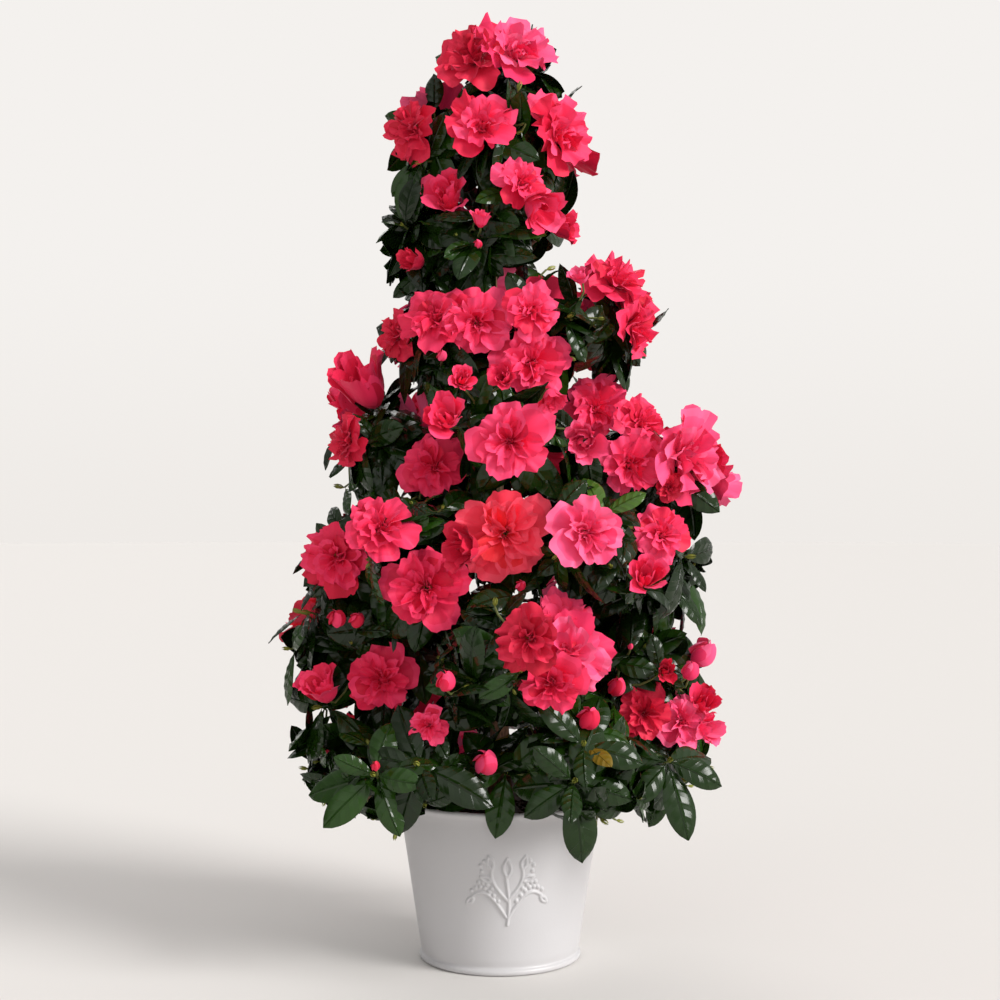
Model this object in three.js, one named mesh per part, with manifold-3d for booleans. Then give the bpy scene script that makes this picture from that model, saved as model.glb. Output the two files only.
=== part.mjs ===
// An azalea shrub grown as a tall pyramid, in a round sheet metal pot. Millimetres, +Z up.
// The origin is the centre of the pot's flat underside; -Y is the front and +X the right.
import * as THREE from "three";
import { mergeVertices } from "three/addons/utils/BufferGeometryUtils.js";
import Module from "manifold-3d";

const wasm = await Module();
wasm.setup();

// Driving dimensions
const pot = {
  height: 115,
  rimRadius: 73.2, // the wall's outside, at the rolled rim
  footRadius: 55.6, // the wall's outside, at the foot
  wall: 1.2,
  rimRoll: 1.8, // radius of the rolled rim's round section
  footBead: 2.4, // radius of the bead round the foot
  sides: 36,
};
const rootBall = {
  fill: 0.885, // its top, as a share of the pot's height
  fall: 2.5, // how much lower it is at the pot's wall than at the stem
  clearance: 0.9,
  sides: 32,
};
const stem = {
  topHeight: 600,
  footRadius: 11,
  radius: 7.2, // just over the root flare
  topRadius: 2.2,
  flareHeight: 16,
  wander: 4, // how far it strays from a straight line
  lean: -4, // how far its top stands to the right
  sides: 8,
};
const bough = {
  startRadius: 3.3,
  endRadius: 1.9,
  climb: 30, // how far below its mass it leaves the stem
  stagger: 13, // extra climb for every other one in a tier
  lowest: 28, // and never nearer the soil than this
  sides: 5,
  steps: 3,
};
const foliage = {
  centreShare: 0.6, // a mass's centre, as a share of its tier's reach
  overlap: 1.3, // how much wider a mass is made than its share of the tier
  widest: 64, // half-width
  unevenness: 0.045,
  gap: 1.6, // between neighbouring masses
  core: 12, // nothing leafy nearer the stem than this, where there are boughs
  around: 11, // facets round a mass
  bands: 7, // and from its top to its bottom
};
const underSkirt = { slope: 48, clearance: 11, rise: 4 }; // the lowest masses' undersides
const contactGap = 0.35;
const foliageGap = 1;

// Compass bearings seen from above, from the front round by the right
const bearings = {
  front: 0,
  front_right: 40,
  right: 90,
  back_right: 145,
  back: 180,
  back_left: 215,
  left: 270,
  front_left: 320,
};

// One entry for each tier of foliage, from the top down. reach is how far the tier comes out
// from the stem on its left, on its right and at its front and back; tall is half its height;
// lift raises one side's mass; droop turns the masses' outer ends down, in degrees.
const tiers = [
  {
    name: "upper",
    height: 588,
    tall: 41,
    reach: { left: 82, right: 66, deep: 68 },
    sides: ["front", "right", "back", "left"],
    lift: { left: -4, right: 4 },
  },
  {
    name: "neck",
    height: 519,
    tall: 45,
    reach: { left: 86, right: 46, deep: 72 },
    sides: ["front", "right", "back", "left"],
  },
  {
    name: "shoulder",
    height: 447,
    tall: 47,
    reach: { left: 89, right: 119, deep: 98 },
    sides: ["front_right", "right", "back", "left", "front_left"],
    lift: { right: 13 },
  },
  {
    name: "chest",
    height: 374,
    tall: 50,
    reach: { left: 130, right: 165, deep: 124 },
    sides: ["front", "right", "back_right", "back_left", "left"],
    lift: { left: -5, right: -20 },
    boughs: true,
  },
  {
    name: "waist",
    height: 302,
    tall: 50,
    reach: { left: 150, right: 156, deep: 146 },
    sides: ["front_right", "right", "back", "left", "front_left"],
    lift: { left: -16, right: -26 },
    boughs: true,
  },
  {
    name: "hip",
    height: 226,
    tall: 51,
    reach: { left: 164, right: 160, deep: 158 },
    sides: ["front", "right", "back_right", "back_left", "left"],
    lift: { left: -2, right: -18 },
    boughs: true,
  },
  {
    name: "skirt",
    height: 143,
    tall: 49,
    reach: { left: 166, right: 168, deep: 150 },
    sides: ["front_right", "right", "back_right", "back_left", "left", "front_left"],
    droop: 20,
    boughs: true,
    overPot: true,
  },
];
const tip = { height: 640, radii: [46, 44, 37], offset: -3 };

const paint = new THREE.MeshStandardMaterial({
  color: 0xefeae6,
  roughness: 0.4,
  metalness: 0,
});
const peat = new THREE.MeshStandardMaterial({
  color: 0x2a1d15,
  roughness: 0.95,
  metalness: 0,
});
const bark = new THREE.MeshStandardMaterial({
  color: 0x6b4a35,
  roughness: 0.85,
  metalness: 0,
});
const leaves = new THREE.MeshStandardMaterial({
  color: 0x1f3d22,
  roughness: 0.45,
  metalness: 0,
});

const radians = THREE.MathUtils.degToRad;
const up = new THREE.Vector3(0, 0, 1);
const soilTop = pot.height * rootBall.fill;
const plant = new THREE.Group();

function addPart(name, geometry, material) {
  const mesh = new THREE.Mesh(geometry, material);
  mesh.name = name;
  plant.add(mesh);
}

// Repeatable numbers from 0 to 1
function seeded(seed) {
  let state = seed >>> 0;
  return () => {
    state = (state * 1664525 + 1013904223) >>> 0;
    return state / 2 ** 32;
  };
}

function solidOf(geometry) {
  const bare = geometry.clone();
  bare.deleteAttribute("normal");
  bare.deleteAttribute("uv");
  const merged = mergeVertices(bare, 1e-3);
  const mesh = new wasm.Mesh({
    numProp: 3,
    vertProperties: merged.attributes.position.array,
    triVerts: new Uint32Array(merged.index.array),
  });
  return new wasm.Manifold(mesh);
}

function geometryOf(solid) {
  const mesh = solid.getMesh();
  const geometry = new THREE.BufferGeometry();
  geometry.setAttribute("position", new THREE.BufferAttribute(mesh.vertProperties, 3));
  geometry.setIndex(new THREE.BufferAttribute(mesh.triVerts, 1));
  return geometry;
}

function largestPiece(solid) {
  return solid.decompose().reduce((a, b) => (a.volume() > b.volume() ? a : b));
}

// LatheGeometry turns about Y, so the result is stood up to turn about Z.
function turned(profile, sides) {
  return new THREE.LatheGeometry(profile, sides).rotateX(Math.PI / 2);
}

// Profile points round a circular section, from one angle to another in degrees
function arc(radius, height, sectionRadius, from, to, steps) {
  return Array.from({ length: steps + 1 }, (_, i) => {
    const angle = radians(from + ((to - from) * i) / steps);
    const across = sectionRadius * Math.cos(angle);
    return new THREE.Vector2(radius + across, height + sectionRadius * Math.sin(angle));
  });
}

function wallRadiusAt(height) {
  return THREE.MathUtils.mapLinear(height, 0, pot.height, pot.footRadius, pot.rimRadius);
}

// A sheet metal bucket: a flat floor, a bead round the foot, a tapered wall and a rolled rim
function potGeometry() {
  const middle = pot.height / 2;
  const profile = [
    new THREE.Vector2(0, 0),
    ...arc(pot.footRadius, pot.footBead, pot.footBead, -90, 70, 4),
    new THREE.Vector2(wallRadiusAt(middle), middle),
    ...arc(pot.rimRadius, pot.height - pot.rimRoll, pot.rimRoll, -60, 180, 5),
    new THREE.Vector2(wallRadiusAt(middle) - pot.wall, middle),
    new THREE.Vector2(pot.footRadius - pot.wall, pot.wall),
    new THREE.Vector2(0, pot.wall),
  ];
  return turned(profile, pot.sides);
}

// The root ball fills the pot to just under the rim, a little higher round the stem.
function rootBallGeometry() {
  const bottom = pot.wall + contactGap;
  const inset = pot.wall + rootBall.clearance;
  const profile = [
    new THREE.Vector2(0, bottom),
    new THREE.Vector2(wallRadiusAt(bottom) - inset, bottom),
    new THREE.Vector2(wallRadiusAt(soilTop) - inset, soilTop - rootBall.fall),
    new THREE.Vector2(wallRadiusAt(soilTop) / 2, soilTop - rootBall.fall * 0.3),
    new THREE.Vector2(stem.footRadius * 1.5, soilTop),
    new THREE.Vector2(0, soilTop),
  ];
  return turned(profile, rootBall.sides);
}

function shareUpStem(height) {
  return (height - soilTop) / (stem.topHeight - soilTop);
}

function stemCentre(height) {
  const share = shareUpStem(height);
  return new THREE.Vector3(
    stem.lean * share + stem.wander * Math.sin(share * 7) * share,
    stem.wander * Math.sin(share * 5.2),
    height,
  );
}

function stemRadius(height) {
  const flare = (stem.footRadius - stem.radius) * Math.exp((soilTop - height) / stem.flareHeight);
  return THREE.MathUtils.lerp(stem.radius, stem.topRadius, shareUpStem(height)) + flare;
}

// The main stem, whole from its flat foot on the soil to its tip. What stands round it is
// cut to the same shape grown by a clearance, which starts at the soil and ends above the tip.
function stemGeometry(grow = 0) {
  const foot = grow ? soilTop : soilTop + contactGap;
  const shares = [0, 0.012, 0.03, 0.07, 0.15, 0.3, 0.45, 0.6, 0.75, 0.9, 1];
  const profile = shares.map((share) => {
    const height = THREE.MathUtils.lerp(foot, stem.topHeight + grow, share);
    return new THREE.Vector2(stemRadius(height) + grow, height);
  });
  profile.unshift(new THREE.Vector2(0, foot));
  profile.push(new THREE.Vector2(0, stem.topHeight + grow));
  const geometry = turned(profile, stem.sides);
  const places = geometry.attributes.position;
  for (let i = 0; i < places.count; i++) {
    const centre = stemCentre(places.getZ(i));
    places.setXY(i, places.getX(i) + centre.x, places.getY(i) + centre.y);
  }
  return geometry;
}

function outward(bearing) {
  return new THREE.Vector3(Math.sin(radians(bearing)), -Math.cos(radians(bearing)), 0);
}

// How far a tier comes out at a bearing
function reachAt(tier, bearing) {
  const { left, right, deep } = tier.reach;
  const across = Math.sin(radians(bearing));
  return THREE.MathUtils.lerp(deep, across < 0 ? left : right, across ** 2);
}

// Half the turn round the stem that a tier's mass has to itself, in degrees
function halfTurn(sides, i) {
  const before = bearings[sides.at(i - 1)];
  const after = bearings[sides[(i + 1) % sides.length]];
  return ((after - before + 360) % 360) / 4;
}

// The places and sizes of a tier's masses. Each one's first radius points outwards.
function massesOf(tier) {
  return tier.sides.map((side, i) => {
    const bearing = bearings[side];
    const reach = reachAt(tier, bearing);
    const out = reach * foliage.centreShare;
    const turn = Math.min(halfTurn(tier.sides, i), 42);
    const width = out * Math.sin(radians(turn)) * foliage.overlap + 4;
    return {
      name: `${tier.name}_${side}`,
      bearing,
      centre: outward(bearing).multiplyScalar(out).setZ(tier.height + (tier.lift?.[side] ?? 0)),
      radii: [reach - out, Math.min(width, foliage.widest), tier.tall],
      droop: tier.droop ?? 0,
      climb: tier.boughs ? bough.climb + (i % 2) * bough.stagger : 0,
      innerEdge: tier.boughs ? foliage.core : foliageGap,
      overPot: tier.overPot,
    };
  });
}

// An uneven rounded lump: a few slow waves swell and sink its surface.
function massSolid(mass, seed) {
  const random = seeded(seed);
  const waves = Array.from({ length: 4 }, () => ({
    way: new THREE.Vector3(random() - 0.5, random() - 0.5, random() - 0.5).normalize(),
    phase: random() * Math.PI * 2,
    pace: 2.4 + random() * 3,
  }));
  const geometry = new THREE.SphereGeometry(1, foliage.around, foliage.bands);
  geometry.rotateX(Math.PI / 2);
  const places = geometry.attributes.position;
  const way = new THREE.Vector3();
  for (let i = 0; i < places.count; i++) {
    way.fromBufferAttribute(places, i);
    const swells = waves.map((wave) => Math.sin(way.dot(wave.way) * wave.pace + wave.phase));
    way.multiplyScalar(1 + foliage.unevenness * swells.reduce((a, b) => a + b));
    places.setXYZ(i, way.x, way.y, way.z);
  }
  geometry.scale(...mass.radii);
  geometry.rotateY(radians(mass.droop));
  geometry.rotateZ(radians(mass.bearing - bearings.right));
  geometry.translate(...mass.centre.toArray());
  return solidOf(geometry);
}

// How far a mass reaches from its centre in a direction, taken as an ellipsoid
function extentOf(mass, direction) {
  const own = direction.clone();
  own.applyAxisAngle(up, radians(bearings.right - mass.bearing));
  own.applyAxisAngle(new THREE.Vector3(0, 1, 0), -radians(mass.droop));
  return 1 / Math.hypot(...own.toArray().map((part, i) => part / mass.radii[i]));
}

function keepBeyond(solid, normal, point) {
  return solid.trimByPlane(normal.toArray(), normal.dot(point));
}

// Each mass gives way to each neighbour at a plane between the two.
function makeRoom(solid, mass, masses) {
  let kept = solid;
  for (const other of masses) {
    const away = other.centre.clone().sub(mass.centre);
    const distance = away.length();
    if (other === mass) continue;
    away.normalize();
    const mine = extentOf(mass, away);
    const theirs = extentOf(other, away);
    if (distance > (mine + theirs) * 1.15) continue;
    const share = (distance ** 2 + mine ** 2 - theirs ** 2) / (2 * distance ** 2);
    const at = THREE.MathUtils.clamp(share, 0.25, 0.75) * distance - foliage.gap / 2;
    const point = mass.centre.clone().addScaledVector(away, at);
    kept = keepBeyond(kept, away.negate(), point);
  }
  return kept;
}

// The lowest masses hang over the rim, clear of the pot: a sloping plane trims them.
function clearOfPot(solid, mass) {
  const slope = radians(underSkirt.slope);
  const out = outward(mass.bearing);
  const point = out.clone().multiplyScalar(pot.rimRadius + underSkirt.clearance);
  point.z = pot.height + underSkirt.rise;
  return keepBeyond(solid, out.multiplyScalar(Math.cos(slope)).setZ(Math.sin(slope)), point);
}

// A tapered limb: the rings of a cylinder are moved onto a curve.
function limbGeometry(curve) {
  const { startRadius, endRadius, sides, steps } = bough;
  const geometry = new THREE.CylinderGeometry(endRadius, startRadius, 1, sides, steps);
  geometry.translate(0, 0.5, 0);
  const places = geometry.attributes.position;
  for (let i = 0; i < places.count; i++) {
    const along = THREE.MathUtils.clamp(places.getY(i), 0, 1);
    const tangent = curve.getTangent(along);
    const across = new THREE.Vector3().crossVectors(up, tangent).normalize();
    const over = new THREE.Vector3().crossVectors(tangent, across);
    const place = curve.getPoint(along);
    place.addScaledVector(over, places.getX(i)).addScaledVector(across, places.getZ(i));
    places.setXYZ(i, ...place.toArray());
  }
  return geometry;
}

// A bough leaves the stem below its mass, climbs outwards and ends where it enters the mass.
function boughSolid(mass, leafy, stemRoom) {
  const end = mass.centre.clone().addScaledVector(outward(mass.bearing), -mass.radii[0] * 0.4);
  const lowest = soilTop + bough.lowest + 2 * (mass.climb - bough.climb);
  const start = stemCentre(Math.max(mass.centre.z - mass.climb, lowest));
  const bend = start.clone().lerp(end, 0.55);
  bend.z = THREE.MathUtils.lerp(start.z, end.z, 0.35);
  const limb = solidOf(limbGeometry(new THREE.QuadraticBezierCurve3(start, bend, end)));
  const middle = mass.centre.toArray();
  const back = middle.map((part) => -part);
  const leafyRoom = leafy.translate(back).scale(1.012).translate(middle);
  return largestPiece(limb.subtract(stemRoom).subtract(leafyRoom));
}

function addCrown() {
  const top = {
    name: "tip",
    bearing: bearings.right,
    centre: new THREE.Vector3(tip.offset, 0, tip.height),
    radii: tip.radii,
    droop: 0,
  };
  const masses = [top, ...tiers.flatMap(massesOf)];
  const stemRoomForBoughs = solidOf(stemGeometry(contactGap));
  const stemRoomForFoliage = solidOf(stemGeometry(foliageGap));
  masses.forEach((mass, i) => {
    let solid = makeRoom(massSolid(mass, i * 7919 + 17), mass, masses);
    const out = outward(mass.bearing);
    if (mass.innerEdge) {
      solid = keepBeyond(solid, out, out.clone().multiplyScalar(mass.innerEdge));
    }
    if (mass.overPot) solid = clearOfPot(solid, mass);
    const leafy = largestPiece(solid.subtract(stemRoomForFoliage));
    addPart(`foliage_${mass.name}`, geometryOf(leafy), leaves);
    if (mass.climb) {
      const limb = boughSolid(mass, leafy, stemRoomForBoughs);
      addPart(`bough_${mass.name}`, geometryOf(limb), bark);
    }
  });
}

addPart("pot", potGeometry(), paint);
addPart("root_ball", rootBallGeometry(), peat);
addPart("main_stem", stemGeometry(), bark);
addCrown();

export default plant;
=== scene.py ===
import math

import bmesh
import bpy
import numpy as np
from mathutils import Matrix, Vector
from mathutils.bvhtree import BVHTree


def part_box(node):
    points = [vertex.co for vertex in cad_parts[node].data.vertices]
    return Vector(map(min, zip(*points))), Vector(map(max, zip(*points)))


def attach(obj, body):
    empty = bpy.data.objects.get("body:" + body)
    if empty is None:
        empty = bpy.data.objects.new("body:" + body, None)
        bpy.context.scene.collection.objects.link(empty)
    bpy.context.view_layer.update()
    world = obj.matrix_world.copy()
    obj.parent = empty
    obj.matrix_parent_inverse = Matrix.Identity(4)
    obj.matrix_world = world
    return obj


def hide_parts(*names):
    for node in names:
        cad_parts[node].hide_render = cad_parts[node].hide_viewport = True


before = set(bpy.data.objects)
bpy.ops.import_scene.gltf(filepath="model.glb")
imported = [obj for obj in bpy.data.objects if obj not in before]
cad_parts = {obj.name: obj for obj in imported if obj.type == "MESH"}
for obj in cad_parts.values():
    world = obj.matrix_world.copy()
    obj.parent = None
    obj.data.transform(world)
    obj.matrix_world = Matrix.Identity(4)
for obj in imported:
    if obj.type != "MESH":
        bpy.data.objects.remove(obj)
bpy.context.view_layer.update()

mm = 0.001
up = Vector((0, 0, 1))
front = Vector((0, -1, 0))
luck = np.random.default_rng(23)  # every random choice in this file comes from here

foliageNodes = sorted(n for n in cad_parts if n.startswith("foliage_"))
boughNodes = sorted(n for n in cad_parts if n.startswith("bough_"))
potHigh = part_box("pot")[1]
soilLow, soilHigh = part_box("root_ball")


def cornersOf(node):  # of a CAD solid
    return np.array([v.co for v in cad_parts[node].data.vertices])


def between(low, high):
    return float(luck.uniform(low, high))


def easedStep(low, high, value):  # 0 below low, 1 above high, smooth between
    share = np.clip((value - low) / (high - low), 0, 1)
    return share * share * (3 - 2 * share)


# Materials

def colourOf(hexColour):  # sRGB hex to linear
    parts = [int(hexColour[i : i + 2], 16) / 255 for i in (1, 3, 5)]
    return [p / 12.92 if p < 0.04045 else ((p + 0.055) / 1.055) ** 2.4 for p in parts] + [1]


def newMaterial(name, settings):
    material = bpy.data.materials.new(name)
    material.use_nodes = True
    tree = material.node_tree
    tree.nodes.clear()
    shader = addNode(tree, "BsdfPrincipled", settings)
    addNode(tree, "OutputMaterial", {}, {"Surface": shader.outputs[0]})
    return material, tree, shader


def addNode(tree, kind, settings={}, links={}):
    node = tree.nodes.new("ShaderNode" + kind)
    for name, value in settings.items():
        if isinstance(name, int) or name in node.inputs:
            node.inputs[name].default_value = value
        else:
            setattr(node, name, value)
    for name, source in links.items():
        tree.links.new(source, node.inputs[name])
    return node


def addMath(tree, operation, *values):  # each value is a number or another node's output
    fixed = {i: v for i, v in enumerate(values) if isinstance(v, (int, float))}
    linked = {i: v for i, v in enumerate(values) if i not in fixed}
    return addNode(tree, "Math", {"operation": operation} | fixed, linked).outputs[0]


def surfaceNoise(tree, settings, place=None):  # noise that stays with the object's own surface
    place = place or addNode(tree, "TexCoord").outputs["Object"]
    return addNode(tree, "TexNoise", settings, {"Vector": place}).outputs["Fac"]


def addRoughness(tree, shader, low, high, source):
    rough = addNode(tree, "MapRange", {"To Min": low, "To Max": high}, {"Value": source})
    tree.links.new(rough.outputs[0], shader.inputs["Roughness"])


def addRelief(tree, shader, strength, depth, source):
    bump = addNode(tree, "Bump", {"Strength": strength, "Distance": depth}, {"Height": source})
    tree.links.new(bump.outputs[0], shader.inputs["Normal"])


def addRamp(tree, shader, stops, source):  # base colour from dark to light, each with its place
    ramp = addNode(tree, "ValToRGB", {}, {"Fac": source})
    for element, (position, colour) in zip(ramp.color_ramp.elements, stops):
        element.position = position
        element.color = colourOf(colour)
    tree.links.new(ramp.outputs[0], shader.inputs["Base Color"])


# Shapes made of a grid, kept as arrays so that many copies can be joined

def gridShape(across, along, place):
    grid = bmesh.new()
    bmesh.ops.create_grid(grid, x_segments=across, y_segments=along, size=0.5)
    flat = np.array([v.co[:2] for v in grid.verts]) + 0.5
    faces = np.array([[v.index for v in f.verts] for f in grid.faces])
    grid.free()
    points = np.stack(place(flat[:, 0] * 2 - 1, flat[:, 1]), 1)
    return {"points": points, "faces": faces, "map": flat, "tone": np.zeros(len(faces), int)}


def joinedShape(shapes):
    counts = np.cumsum([0] + [len(s["points"]) for s in shapes])
    return {
        "points": np.concatenate([s["points"] for s in shapes]),
        "faces": np.concatenate([s["faces"] + n for s, n in zip(shapes, counts)]),
        "map": np.concatenate([s["map"] for s in shapes]),
        "tone": np.concatenate([s["tone"] for s in shapes]),
    }


def addCopy(pile, shape, place, tones):
    turn = np.array(place)
    copy = dict(shape)
    copy["points"] = shape["points"] @ turn[:3, :3].T + turn[:3, 3]
    copy["tone"] = np.asarray(tones)[shape["tone"]]
    pile.append(copy)


def addObject(name, data):
    made = bpy.data.objects.new(name, data)
    bpy.context.scene.collection.objects.link(made)
    return made


def addPiece(name, mesh, nodes):
    piece = addObject(name, mesh)
    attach(piece, "root")
    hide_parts(*nodes)
    print(f"{name}: {len(mesh.polygons)} faces")


def pieceOf(name, pile, materials, nodes):
    whole = joinedShape(pile)
    mesh = bpy.data.meshes.new(name)
    mesh.from_pydata(whole["points"].tolist(), [], whole["faces"].tolist())
    mesh.polygons.foreach_set("material_index", whole["tone"].astype(np.int32))
    mesh.polygons.foreach_set("use_smooth", np.ones(len(whole["faces"]), bool))
    corners = whole["map"][whole["faces"].ravel()]
    mesh.uv_layers.new(name="own").uv.foreach_set("vector", corners.ravel().astype(np.float32))
    for material in materials:
        mesh.materials.append(material)
    mesh.update()
    addPiece(name, mesh, nodes)


def pieceFromBmesh(name, shape, material, nodes):
    bmesh.ops.recalc_face_normals(shape, faces=shape.faces)
    for face in shape.faces:
        face.smooth = True
    mesh = bpy.data.meshes.new(name)
    shape.to_mesh(mesh)
    shape.free()
    mesh.materials.append(material)
    addPiece(name, mesh, nodes)


def turnedShape(outline, steps):  # a closed body of rings round the upright axis
    shape = bmesh.new()
    profile = [shape.verts.new((r, 0, z)) for r, z in outline]
    edges = [shape.edges.new(pair) for pair in zip(profile, profile[1:])]
    around = {"cent": (0, 0, 0), "axis": (0, 0, 1), "angle": math.tau}
    bmesh.ops.spin(shape, geom=profile + edges, steps=steps, use_merge=True, **around)
    bmesh.ops.remove_doubles(shape, verts=shape.verts, dist=0.01 * mm)
    return shape


def frameOf(*axes):
    return Matrix(axes).transposed().to_4x4()


def placed(position, axis, spin, size):  # a copy's matrix: its own z along axis
    side = axis.orthogonal().normalized()
    side = Matrix.Rotation(spin, 4, axis) @ side
    place = frameOf(side, axis.cross(side), axis)
    return Matrix.Translation(position) @ place @ Matrix.Scale(size, 4)


# The pot: a pail of thin sheet steel, pressed, rolled at its rim and stove enamelled

pot = {
    "wall": 0.9 * mm,
    "rimRoll": 1.9 * mm,
    "footBead": 2.4 * mm,
    "footTuck": 1.4 * mm,  # how far the wall draws in over the foot bead
    "wallStart": 2.6,  # how high the plain wall starts, in bead radii
    "steps": 144,
    "rowHeight": 4.6 * mm,
    "reliefCuts": 7,
    "reliefHeight": 1.2 * mm,
    "reliefCentre": 61 * mm,
    "reliefAside": 5 * mm,
    "reliefScale": 0.9,
    "reliefHalf": 29 * mm,  # half the side of the finely divided patch that carries it
    "paint": "#c9c8ca",
    "paintShade": "#c2c0c1",
}
rimRadius = potHigh[0] - pot["rimRoll"]
beadReach = max(math.hypot(x, y) for x, y, z in cornersOf("pot") if z < 2 * pot["footBead"])
footRadius = beadReach - pot["footBead"]


def wallRadius(height):
    return footRadius + (rimRadius - footRadius) * height / potHigh[2]


def arcPoints(radius, height, section, start, end, count):
    angles = np.radians(np.linspace(start, end, count))
    return [(radius + section * math.cos(a), height + section * math.sin(a)) for a in angles]


def potProfile():
    roll, bead = pot["rimRoll"], pot["footBead"]
    rows = np.arange(pot["rowHeight"] * 1.6, potHigh[2] - roll * 3, pot["rowHeight"])
    outside = [(wallRadius(z), z) for z in rows]
    inside = [(wallRadius(z) - pot["wall"], z) for z in rows[::-3]]
    start = bead * pot["wallStart"]
    tuck = [
        (footRadius - pot["footTuck"] + bead * 0.9, bead * 1.95),
        (wallRadius(start) - 0.3 * mm, start),
    ]
    return (
        [(0, 0), (footRadius * 0.5, 0)]
        + arcPoints(footRadius, bead, bead, -90, 60, 8)
        + tuck
        + outside
        + arcPoints(rimRadius, potHigh[2] - roll, roll, -62, 200, 14)
        + inside
        + [(footRadius - pot["wall"], pot["wall"]), (0, pot["wall"])]
    )


# The relief on the front is a sprig: a stem, arching stalks with leaves, and rows of berries.
def sprigLines():  # lines and dots as (across, up) points in millimetres from the relief's middle
    ts = np.linspace(0, 1, 40)
    lines, dots = [[(1.2 * math.sin(4 * t), -27 + 38 * t) for t in ts]], []
    for side in (-1, 1):
        swag = [(side * (1 + 26 * t), -21 + 19 * math.sin(2.2 * t)) for t in ts]
        lines.append(swag)
        lines.append(leafOutline(side * 26, -6.5, math.radians(90 - side * 130), 7))
        dots += [(x * 1.02 + side * 0.5, y + 4.2) for x, y in swag[8:40:5]]
        dots += [(x * 1.02 + side * 0.5, y + 8) for x, y in swag[15:34:5]]
        stalk = [(side * 12 * math.sin(1.9 * t), -8 + 25 * t) for t in ts]
        lines.append(stalk)
        lines.append(leafOutline(side * 11.5, 16.5, math.radians(90 - side * 16), 10))
        lines.append(leafOutline(side * 12, 7, math.radians(90 - side * 68), 9))
        dots += [(side * 17.5, 22.5), (side * 20.5, 19), (side * 19.5, 14.5)]
    lines.append(leafOutline(0, 10.5, math.radians(90), 14))
    return lines, dots


def leafOutline(x, y, way, length):
    ts = np.linspace(0, 1, 25)
    half = 0.21 * length * np.sin(np.pi * ts ** 0.9)
    loop = [(t * length, h) for t, h in zip(ts, half)]
    loop += [(t * length, -h) for t, h in zip(ts[::-1], half[::-1])]
    c, s = math.cos(way), math.sin(way)
    return [(x + c * a - s * b, y + s * a + c * b) for a, b in loop]


def makePot():
    shape = turnedShape(potProfile(), pot["steps"])
    bmesh.ops.recalc_face_normals(shape, faces=shape.faces)
    shape.normal_update()
    half = pot["reliefHalf"]

    def inRelief(face):
        c = face.calc_center_median()
        return (
            c.y < 0
            and abs(c.x - pot["reliefAside"]) < half
            and abs(c.z - pot["reliefCentre"]) < half
            and face.normal.y * -1 > 0.5
            and math.hypot(c.x, c.y) > wallRadius(c.z) - pot["wall"] / 2
        )

    patch = {f for f in shape.faces if inRelief(f)}
    patchEdges = [e for e in shape.edges if not patch.isdisjoint(e.link_faces)]
    bmesh.ops.subdivide_edges(shape, edges=patchEdges, cuts=pot["reliefCuts"], use_grid_fill=True)

    lines, dots = sprigLines()
    marks = np.array([p for line in lines for p in denser(line)]) * mm * pot["reliefScale"]
    dotPlaces = np.array(dots) * mm * pot["reliefScale"]
    for v in shape.verts:
        r = math.hypot(v.co.x, v.co.y)
        beside = abs(v.co.x - pot["reliefAside"]) > half * 1.1
        if v.co.y > 0 or beside or abs(v.co.z - pot["reliefCentre"]) > half * 1.1:
            continue
        if r < wallRadius(v.co.z) - pot["wall"] / 2:
            continue
        unrolled = math.atan2(v.co.x, -v.co.y) * r
        here = np.array((unrolled - pot["reliefAside"], v.co.z - pot["reliefCentre"]))
        fromLine = np.sqrt(((marks - here) ** 2).sum(1).min())
        fromDot = np.sqrt(((dotPlaces - here) ** 2).sum(1).min())
        rise = max(1 - easedStep(0.3 * mm, 1.5 * mm, fromLine), 1 - easedStep(0.6 * mm, 1.9 * mm, fromDot))
        out = Vector((v.co.x, v.co.y, 0)).normalized()
        v.co = out * (wallRadius(v.co.z) + pot["reliefHeight"] * rise) + up * v.co.z
    pieceFromBmesh("pot_enamelled", shape, stoveEnamel(), ["pot"])


def denser(line):  # the same line with a point every 0.3 mm or so
    line = np.array(line)
    out = []
    for a, b in zip(line, line[1:]):
        count = max(int(np.hypot(*(b - a)) / 0.3), 1)
        out += [a + (b - a) * i / count for i in range(count)]
    return out


def stoveEnamel():
    # Stove enamelled sheet steel: an even satin coat, faintly orange-peeled, a little dull and
    # creamy where it has been handled and dusted with peat.
    coat = {"IOR": 1.5, "Coat Weight": 0.15, "Coat Roughness": 0.3}
    material, tree, shader = newMaterial("stove_enamelled_steel", coat)
    cloud = surfaceNoise(tree, {"Scale": 22, "Detail": 4})
    colours = {"data_type": "RGBA", 6: colourOf(pot["paintShade"]), 7: colourOf(pot["paint"])}
    tint = addNode(tree, "Mix", colours, {"Factor": cloud})
    tree.links.new(tint.outputs[2], shader.inputs["Base Color"])
    addRoughness(tree, shader, 0.34, 0.5, cloud)
    addRelief(tree, shader, 0.12, 0.3 * mm, surfaceNoise(tree, {"Scale": 420, "Detail": 2}))
    return material


# The root ball: damp peat, crumbly on top

soil = {
    "steps": 72,
    "rings": 14,
    "fall": 2.4 * mm,  # how much lower its top is at the pot's wall
    "roughness": 2.2 * mm,
    "crumbs": 340,
    "crumbSize": (0.8 * mm, 2.6 * mm),
    "dark": "#1a120c",
    "light": "#4a3525",
}


def waves(point, pitch):  # slow smooth noise from a few sines, from -1 to 1
    x, y, z = np.asarray(point) / pitch
    return (
        math.sin(x * 1.9 + math.sin(y * 1.3 + 1.7)) * math.cos(y * 2.3 + math.sin(z * 1.7))
        + math.sin(z * 2.1 + math.cos(x * 1.1 + 0.6)) * 0.6
    ) / 1.6


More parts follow.
